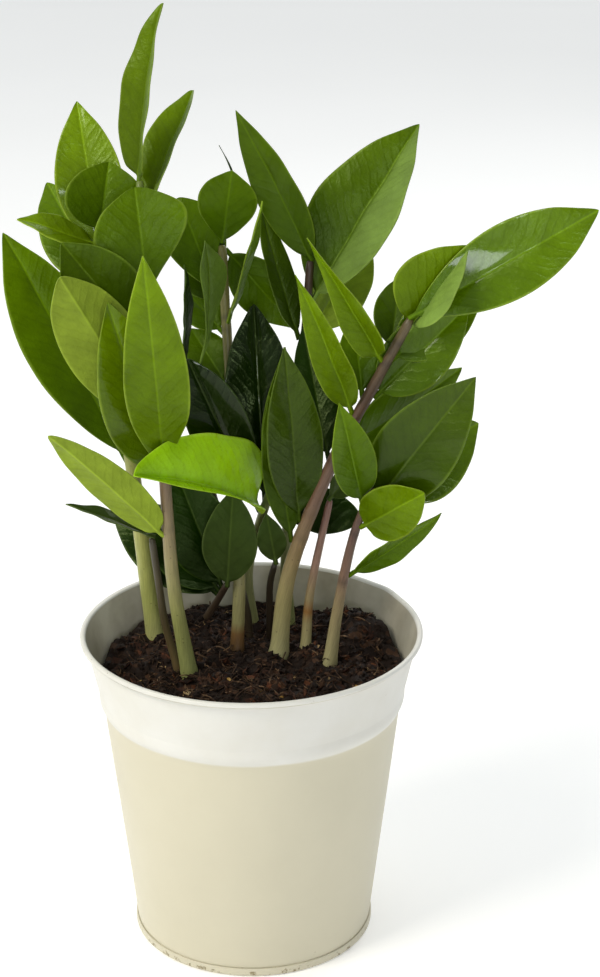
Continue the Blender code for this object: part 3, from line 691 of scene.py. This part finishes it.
def leaflet(stem, name, at, heading, rise, length, width, roll, arch=12, fold=12, widest=0.42,
            fullness=0.8, tone="leaf", bow=0.0, right=1.0, wave=0.5, gloss=0.75, shade=1.0,
            painted_sheen=(0.0, 0.0), cad=True):
    """A leaflet on a stem. heading, rise and roll lay the blade, arch bends it lengthways,
    fold lifts its halves, bow (mm) bends it sideways, right stretches its right half, wave
    (mm) ripples its margin. widest may be given for each half, and so may the share of each
    half clouded with a pale painted sheen. shade scales the colours: the leaflet's own tone, with
    painted light and shade for where it sits in the clump. cad says that it takes a CAD node's place."""
    flat, steep = math.radians(heading), math.radians(rise)
    along = Vector((math.cos(steep) * math.cos(flat), math.cos(steep) * math.sin(flat), math.sin(steep)))
    out = Vector((-math.sin(steep) * math.cos(flat), -math.sin(steep) * math.sin(flat), math.cos(steep)))
    out.rotate(Quaternion(along, math.radians(roll)))
    across = out.cross(along)
    point, way = stem.at(at)
    if at >= 1:
        base, inset = point + way * STALKLET, STALKLET
    else:
        side = (along - way * along.dot(way)).normalized()
        base = point + side * (stem.radius(at) + STALKLET)
        inset = STALKLET + stem.radius(at) * 0.6
    bend = math.radians(arch)
    scale = length / (2 * math.sin(bend / 2))
    broad = widest if isinstance(widest, tuple) else (widest, widest)
    powers = [math.log(0.5) / math.log(value) for value in broad]
    seed = sum(ord(letter) * (place + 3) for place, letter in enumerate(name)) % 97
    first, second, under, margin = [linear(colour) for colour in TONES[tone]]
    shares = [-inset / length, -inset / length * 0.5]
    shares += [(1 - math.cos(math.pi * (index / ROWS) ** 0.92)) / 2 for index in range(ROWS + 1)]
    sides = [-value for value in COLUMNS[:0:-1]] + list(COLUMNS)
    vertices, colours, flow, faces = [], [], [], []
    count = len(sides)
    for share in shares:
        clear = max(0.0, share)
        turn = bend * (clear - 0.5)
        forward = scale * math.sin(turn) + length / 2 + min(0.0, share) * length
        lift = scale * (math.cos(turn) - math.cos(bend / 2))
        normal = (math.cos(turn) * out + math.sin(turn) * along).normalized()
        middle = base + along * forward + out * lift + across * bow * math.sin(math.pi * clear)
        blade = max(0.0, (share - 0.015) / 0.985)
        swells = [max(0.0, math.sin(math.pi * blade ** power)) ** fullness * width / 2
                  * (1 - 0.2 * smooth(0.8, 1.0, share)) for power in powers]
        petiole = PETIOLE_RADIUS * (1 - smooth(0.0, 0.14, share))
        least = 0.95 - 0.8 * smooth(0.0, 0.3, share)
        opened = smooth(0.0, 0.07, share)
        slope = math.radians(fold) * opened
        for x in sides:
            half = max(least, swells[x < 0] * (right if x >= 0 else 1))
            reach = half * abs(x)
            curve = slope * (1.15 - 0.3 * abs(x))
            ripple = wave * opened * abs(x) ** 3 * math.sin(
                9 * share + seed + (2.1 if x < 0 else 0)) * math.sin(math.pi * min(1, clear))
            ripple += 0.35 * wave * opened * abs(x) ** 2 * math.sin(23 * share + seed * 1.7 + 3 * x)
            ripple += 0.9 * noise.noise(Vector((x * half / 14, share * length / 14, seed))) * opened
            thick = max(BLADE_THICKNESS / 2, petiole * math.sqrt(max(0.0, 1 - x * x)))
            groove = GROOVE * math.exp(-(reach / 0.7) ** 2) * opened
            rib = RIB * math.exp(-(reach / 0.8) ** 2) * opened * (1 - 0.7 * clear)
            centre = (middle + across * math.copysign(reach * math.cos(curve), x)
                      + normal * (reach * math.sin(curve) + ripple))
            if abs(x) == 1.0:
                thick = min(thick, MARGIN_HALF_THICKNESS)
            for face, push in ((0, thick - groove), (1, -thick - rib)):
                vertices.append(centre + normal * push)
                flow.append((math.copysign(reach, x), share * length))
                mix = smooth(0.1, 0.95, share)
                tint = [a + (b - a) * mix for a, b in zip(first, second)] if face == 0 else list(under)
                # Painted highlight: both faces lighten towards the margin into a thin pale line.
                edge = smooth(0.93, 0.985, abs(x)) * opened * 0.4
                tint = [a + (b - a) * edge for a, b in zip(tint, margin)]
                # Painted sheen: a pale cloud over one half of the upper face, growing away from the midrib.
                sheen_share = painted_sheen[x < 0] * smooth(0.0, 0.15, abs(x)) if face == 0 else 0.0
                tint = [a + (b - a) * sheen_share for a, b in zip(tint, linear(PAINTED_SHEEN_COLOUR))]
                shine = gloss if face == 0 else UNDERSIDE_GLOSS
                colours.append([part * shade for part in tint[:3]] + [shine * opened])
    wide = count * 2
    for row in range(len(shares) - 1):
        here, there = row * wide, (row + 1) * wide
        for step in range(count - 1):
            a, b = 2 * step, 2 * (step + 1)
            faces.append((here + a, here + b, there + b, there + a))
            faces.append((here + b + 1, here + a + 1, there + a + 1, there + b + 1))
        faces.append((here + 1, here, there, there + 1))
        end = 2 * (count - 1)
        faces.append((here + end, here + end + 1, there + end + 1, there + end))
    for row in (0, len(shares) - 1):
        rim = [row * wide + 2 * step for step in range(count)]
        rim += [row * wide + 2 * step + 1 for step in range(count - 1, -1, -1)]
        faces.append(tuple(rim if row else rim[::-1]))
    made = add_piece("blade_" + name, vertices, faces, [zz_leaf_wax])
    add_layers(made.data, "blade", colours, flow)
    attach(made, ROOT)
    if cad:
        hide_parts("leaf_" + name)


# ---- left stem ----
# The thickest stem, pale yellow-green at the soil, with broad glossy leaflets near its top.

stem = Stem("stalk_left", (0.80, 146), [(-3, -4, 30), (-7, -10, 77), (-10, -14, 121), (-16, -10, 163)],
            (8.4, 3.6), [(0, "#A8A86C"), (0.12, "#A4A85C"), (0.35, "#98984E"), (1, "#667A2A")],
            (0.48, 0.88, 0.97)).grow()
leaflet(stem, "left_1", 0.48, 158, 60, 92, 33, -42, fold=10, widest=(0.5, 0.42), shade=0.95)
leaflet(stem, "left_2", 0.88, 126, 38, 49, 26, -34, arch=20)
leaflet(stem, "left_3", 0.98, -175, 20, 28, 14, -25, arch=10, tone="fresh")
leaflet(stem, "left_4", 0.97, 118, 69, 52, 25, -32, arch=15, fold=10, tone="fresh", gloss=0.95)
leaflet(stem, "left_5", 1.00, 61, 72, 24, 30, 43, arch=15, fold=14, fullness=0.6, shade=0.9)

# ---- thin front stem ----
# A short brown stem behind the front one, with one narrow dull leaflet.

stem = Stem("stalk_front_thin", (0.50, -178), [(-4, -2, 18), (-6, -3, 35), (-8, -4, 53)], (3.2, 2.6),
            [(0, "#6B5B3A"), (0.4, "#4A4028"), (1, "#3A3522")]).grow()
leaflet(stem, "front_thin_1", 1.00, -169, 25, 34, 9, -12, arch=8, fold=20, tone="matt")

# ---- front left stem ----
# The tallest stem, in front, leaning back as it rises, with the plant's topmost leaflets.

stem = Stem("stalk_front_left", (0.43, -166), [(-5, -4, 38), (-7, -5, 77), (-9, -2, 112), (-15, 17, 182)],
            (6.4, 3.0), [(0, "#8E9458"), (0.12, "#8E9052"), (0.28, "#8A7E54"), (0.4, "#6E5A42"),
                         (0.55, "#5C5632"), (1, "#66782A")], (0.32, 0.45, 0.55, 0.71, 0.79, 0.95)).grow()
leaflet(stem, "front_left_1", 0.32, -153, 47, 60, 17, 60, arch=10, fold=14, widest=0.34, fullness=0.6,
        tone="fresh", gloss=0.5)
leaflet(stem, "front_left_2", 0.45, -147, 75, 68, 28, -101, arch=14, fold=8, tone="fresh", shade=0.78,
        gloss=0.95)
leaflet(stem, "front_left_3", 0.47, -95, 68, 93, 23, -164, fold=8, tone="fresh", wave=1.4)
leaflet(stem, "front_left_4", 0.55, -154, 61, 68, 28, 80, widest=0.52, fullness=0.6, tone="fresh",
        shade=0.88, gloss=0.5)
leaflet(stem, "front_left_5", 0.71, -173, 53, 47, 28, -81, widest=(0.42, 0.5), fullness=0.7, tone="deep")
leaflet(stem, "front_left_6", 0.79, 131, 81, 40, 34, -31, arch=15, fold=8, widest=(0.55, 0.72),
        fullness=0.6, shade=0.85)
leaflet(stem, "front_left_7", 0.95, 61, 48, 48, 18, -16, fold=36, widest=0.5, fullness=0.55, tone="fresh",
        shade=0.85, painted_sheen=(0.0, 0.5))
leaflet(stem, "front_left_8", 1.00, 41, 79, 61, 19, -3, arch=14, fold=34, widest=0.38, fullness=0.6,
        tone="fresh", shade=0.68, painted_sheen=(0.0, 0.4))

# ---- leaning stem ----
# A short dark stem that crosses the clump low down, with four old leaflets.

stem = Stem("stalk_leaning", (0.77, 117), [(5, -14, 14), (10, -27, 28)], (3.4, 2.6),
            [(0, "#5A4A38"), (1, "#3E3024")]).grow()
leaflet(stem, "leaning_1", 0.78, 143, 41, 41, 26, -46, tone="dark")
leaflet(stem, "leaning_2", 0.90, 164, 69, 47, 26, -65, tone="dark")
leaflet(stem, "leaning_3", 1.00, 59, 83, 37, 21, 32, tone="matt", gloss=0.3)
leaflet(stem, "low_left", 0.70, 141, 25, 58, 26, -48, tone="dark", cad=False)

# ---- centre back stem ----
# A slim stem from the middle of the clump, pale brown, leaning away to the back.

stem = Stem("stalk_centre_back", (0.24, 116), [(1, 3, 33), (-1, 16, 83), (-4, 30, 127), (-5, 36, 148)],
            (5.4, 3.4), [(0, "#4E3A22"), (0.05, "#7A5A32"), (0.08, "#96905E"), (0.3, "#918A58"),
                         (0.6, "#76703E"), (1, "#6E6A36")], (0.67, 0.79, 0.82, 0.88, 0.96)).grow()
leaflet(stem, "centre_back_1", 0.67, 132, 39, 24, 17, -41, shade=0.85)
leaflet(stem, "centre_back_2", 0.82, -47, 69, 51, 9, -153, arch=4, fold=15, gloss=0.5)
leaflet(stem, "centre_back_3", 0.98, 16, -50, 41, 20, 101)
leaflet(stem, "centre_back_4", 0.88, 138, 60, 38, 24, -35, widest=0.6, fullness=0.65)
leaflet(stem, "centre_back_5", 1.00, -68, 69, 32, 22, 156, fold=6, widest=0.6, fullness=0.7, shade=1.1)
leaflet(stem, "centre_back_low", 0.87, 138, 40, 17, 15, -37, tone="deep", cad=False)
leaflet(stem, "centre_back_lower", 0.79, 136, 31, 20, 15, -37, cad=False)
leaflet(stem, "centre_back_awn", 1.00, 102, 84, 36, 1.2, 0, arch=4, bow=-6, tone="dark", cad=False)

# ---- dark back stem ----
# A thin dark stem behind the clump, ending in two curled, nearly black leaflets.

stem = Stem("stalk_back_dark", (0.43, 93), [(-2, -2, 17), (-12, 0, 54), (-21, 2, 88), (-23, 3, 110)],
            (3.0, 2.2), [(0, "#3A3020"), (1, "#3A3A22")]).grow()
leaflet(stem, "back_dark_1", 1.00, -83, 84, 37, 9, -114, arch=6, fold=15, tone="dark")
leaflet(stem, "back_dark_curl", 0.90, 36, 84, 56, 15, 95, arch=40, fold=30, widest=0.78, fullness=1.3,
        tone="deep", painted_sheen=(0.4, 0.2), cad=False)

# ---- pale centre stem ----
# A short pale stem, hidden above by the leaflets it carries, the brightest one among them.

stem = Stem("stalk_centre_pale", (0.60, 90), [(-2, -5, 24), (2, -10, 45), (7, -18, 64)], (4.8, 3.2),
            [(0, "#7E8050"), (0.5, "#8C9060"), (1, "#6C7440")], (0.84, 0.92)).grow()
leaflet(stem, "centre_pale_1", 0.88, -131, 26, 72, 42, -47, arch=24, fold=45, widest=0.3, fullness=0.4,
        right=0.35, tone="bright", shade=1.08, gloss=0.8)
# centre_pale_2 and centre_pale_3 are old, near-black leaflets, made darker still (shade 0.6) by painted
# shade where the clump's middle lies in shadow.
leaflet(stem, "centre_pale_2", 0.84, -173, 67, 64, 23, -87, arch=14, fold=16, widest=0.58, fullness=0.65,
        tone="dark", shade=0.6, gloss=1.0)
leaflet(stem, "centre_pale_3", 0.92, 102, 75, 71, 26, -10, arch=10, widest=0.5, fullness=0.7, tone="dark",
        shade=0.6, gloss=1.0)
leaflet(stem, "centre_pale_4", 1.00, 59, 79, 53, 14, 50, arch=8, fold=15, tone="deep")

# ---- thin centre stem ----
# A short, nearly black stem with one small dull leaflet.

stem = Stem("stalk_centre_thin", (0.40, 73), [(0, -6, 24), (2, -10, 36)], (3.0, 2.4),
            [(0, "#2E241A"), (1, "#2A2418")]).grow()
leaflet(stem, "centre_thin_1", 1.00, 173, 80, 19, 11, -78, arch=10, fold=10, tone="matt", gloss=0.3)

# ---- stem behind ----
# A tall stem at the back, pale below and dark brown above, carrying the largest leaflet.

stem = Stem("stalk_behind", (0.60, 66), [(-1, -2, 32), (2, 2, 72), (6, 6, 115), (8, 9, 145)], (5.4, 3.0),
            [(0, "#7E8250"), (0.3, "#6C7440"), (0.7, "#3E4A1C"), (0.85, "#38281A"), (1, "#3A2A1C")],
            (0.81, 0.91)).grow()
leaflet(stem, "behind_1", 0.81, 156, 73, 50, 12, -32, arch=-10, fold=14, tone="deep", shade=0.9)
leaflet(stem, "behind_2", 0.82, 38, 49, 41, 24, -160, arch=8)
leaflet(stem, "behind_3", 0.91, 22, 56, 73, 38, 35, arch=8, fold=28, shade=0.85, painted_sheen=(0.0, 0.7))
leaflet(stem, "behind_4", 1.00, -171, 64, 62, 18, -116, arch=-12, fold=15, widest=0.38, shade=0.8)

# ---- main stem ----
# The stem that sweeps out to the right, pale at the soil and purple-brown above.

stem = Stem("stalk_main", (0.25, 45), [(4, -1, 33), (18, -4, 74), (35, -7, 110), (47, -11, 135)],
            (7.6, 3.4), [(0, "#A09C6E"), (0.15, "#9C9260"), (0.3, "#857048"), (0.45, "#654A36"),
                         (0.75, "#523C2C"), (1, "#564A2C")],
            (0.34, 0.42, 0.57, 0.61, 0.8, 0.86, 0.93)).grow()
leaflet(stem, "main_1", 0.34, -176, 82, 55, 14, -90, arch=6, tone="deep")
leaflet(stem, "main_2", 0.40, -123, 82, 68, 22, -129, arch=8, fold=15, tone="deep", shade=0.75, gloss=0.85)
leaflet(stem, "main_3", 0.57, 110, 57, 49, 16, -19, arch=10, fold=10, tone="dark")
leaflet(stem, "main_4", 0.71, -151, 67, 58, 15, -131, arch=-15, fold=25, widest=0.28, fullness=0.95,
        tone="fresh")
leaflet(stem, "main_5", 0.78, 2, 46, 46, 24, 74, arch=8, gloss=0.95)
leaflet(stem, "main_6", 0.87, -159, 59, 54, 14, -125, arch=-10, fold=35, widest=0.2, fullness=1.1,
        tone="fresh")
leaflet(stem, "main_7", 0.88, 20, 35, 41, 22, 62, gloss=0.95)
leaflet(stem, "main_8", 0.98, 4, 56, 35, 32, 54, arch=10, fold=50, tone="fresh", painted_sheen=(0.0, 0.75))
leaflet(stem, "main_9", 1.00, 4, 30, 75, 27, 72, fold=10, widest=0.52, fullness=0.75, shade=1.2, wave=0.9,
        gloss=1.0)
leaflet(stem, "main_back", 0.90, 79, 47, 28, 16, 9, arch=10, tone="deep", cad=False)
leaflet(stem, "main_low", 0.62, 12, 33, 49, 24, 96, cad=False)
leaflet(stem, "main_middle", 0.76, 106, 64, 27, 15, -7, cad=False)

# ---- slim stem ----
# A thin pinkish stem with an orange scar near the soil and two small leaflets behind it.

stem = Stem("stalk_slim", (0.41, 30), [(2, 0, 25), (9, -2, 62)], (4.4, 2.6),
            [(0, "#A09A6C"), (0.22, "#9A8E62"), (0.28, "#8E6434"), (0.36, "#9A8A62"), (0.6, "#927462"),
             (1, "#785448")]).grow()
leaflet(stem, "slim_top", 1.00, 41, 40, 20, 12, 76, arch=10, tone="matt", cad=False)
leaflet(stem, "slim_round", 0.76, 77, 60, 18, 28, 14, tone="dark", cad=False)

# ---- right stem ----
# A brown stem at the right with five leaflets that fan out over the pot's rim.

stem = Stem("stalk_right", (0.52, 3), [(3, -2, 24), (8, -5, 52), (15, -8, 74)], (5.6, 2.8),
            [(0, "#A09A6E"), (0.3, "#948660"), (0.5, "#765C4A"), (0.7, "#5A4034"), (1, "#4A3A2A")],
            (0.47, 0.73, 0.9)).grow()
leaflet(stem, "right_1", 0.52, -10, 39, 41, 11, 116, fold=20)
leaflet(stem, "right_2", 0.80, -35, 36, 31, 21, 99, arch=10, fullness=0.55, tone="fresh", shade=0.9)
leaflet(stem, "right_3", 0.93, -18, 55, 63, 30, 90, arch=10, fold=16, tone="deep", shade=0.85, gloss=0.9)
leaflet(stem, "right_4", 1.00, 16, 26, 44, 34, 66, shade=0.85, gloss=1.0)
leaflet(stem, "right_front", 0.93, -115, 65, 47, 17, -139, arch=10, fold=20, cad=False)

# ---- floor, light and camera ----
# A plain pale floor that fades into a pale surround, a large soft light above to the left, a
# small one in front, like a window that glints on the leaves, and a third behind the plant.
# The floor also glows faintly: painted light that keeps it white far from the lamps.

FLOOR_REACH = 60000
FLOOR_LEVEL = -0.2

floor_paint, node, floor_shader, floor_place = new_material("pale_matt_floor")
floor_grain = node("ShaderNodeTexNoise", {"Vector": floor_place, "Scale": 6.0})["Fac"]
floor_tone = node("ShaderNodeMix", {"Factor": floor_grain, 6: linear("#FAFAF8"), 7: linear("#F6F6F4")},
                  data_type="RGBA")[2]
# Painted light: the floor's faint white glow.
fill(floor_shader, {"Base Color": floor_tone, "Roughness": 0.9, "Emission Color": (1.0, 1.0, 1.0, 1.0),
                    "Emission Strength": 0.2})
floor_corners = [(x * FLOOR_REACH, y * FLOOR_REACH, FLOOR_LEVEL)
                 for x, y in ((-1, -1), (1, -1), (1, 1), (-1, 1))]
floor = add_piece("floor", floor_corners, [(0, 1, 2, 3)], [floor_paint])

surround = bpy.data.worlds.new("pale_surround")
surround.use_nodes = True
node = partial(add_node, surround.node_tree)
toward = node("ShaderNodeSeparateXYZ", {0: node("ShaderNodeTexCoord")["Generated"]})
back_glow = node("ShaderNodeMapRange",
                 {"Value": toward["Y"], "From Min": -1.0, "To Min": 0.28, "To Max": 0.95})[0]
glow = node("ShaderNodeMath", {0: toward["X"], 1: -0.15, 2: back_glow}, operation="MULTIPLY_ADD")[0]
fill(surround.node_tree.nodes["Background"], {"Strength": glow, "Color": (0.95, 0.98, 1.0, 1.0)})
bpy.context.scene.world = surround


def soft_light(name, place, target, size, power, colour):
    """A square lamp at a place, in metres, that faces a target; size in metres, power in watts."""
    lamp = bpy.data.lights.new(name, "AREA")
    lamp.size = size
    lamp.energy = power
    lamp.color = linear(colour)[:3]
    made = bpy.data.objects.new(name, lamp)
    made.location = place
    made.rotation_euler = (Vector(target) - Vector(place)).to_track_quat("-Z", "Y").to_euler()
    bpy.context.scene.collection.objects.link(made)


soft_light("key", (-0.7, -0.5, 0.95), (0, 0, 0.18), 0.45, 8.5, "#FFF9EE")
soft_light("front", (0.1, -1.4, 0.5), (0, 0, 0.15), 0.22, 3.6, "#F4F7FF")
soft_light("back", (0.5, 0.9, 0.9), (0, 0, 0.2), 0.6, 3.5, "#FFFFFF")

lens = bpy.data.cameras.new("camera")
lens.lens = 88.0
lens.sensor_width = 36.0
camera = bpy.data.objects.new("camera", lens)
camera.location = (0.01795, -0.8082, 0.4967)
camera.rotation_euler = (math.radians(68.47), 0.0, 0.0)
bpy.context.scene.collection.objects.link(camera)
bpy.context.scene.camera = camera
bpy.context.scene.view_settings.view_transform = "Standard"
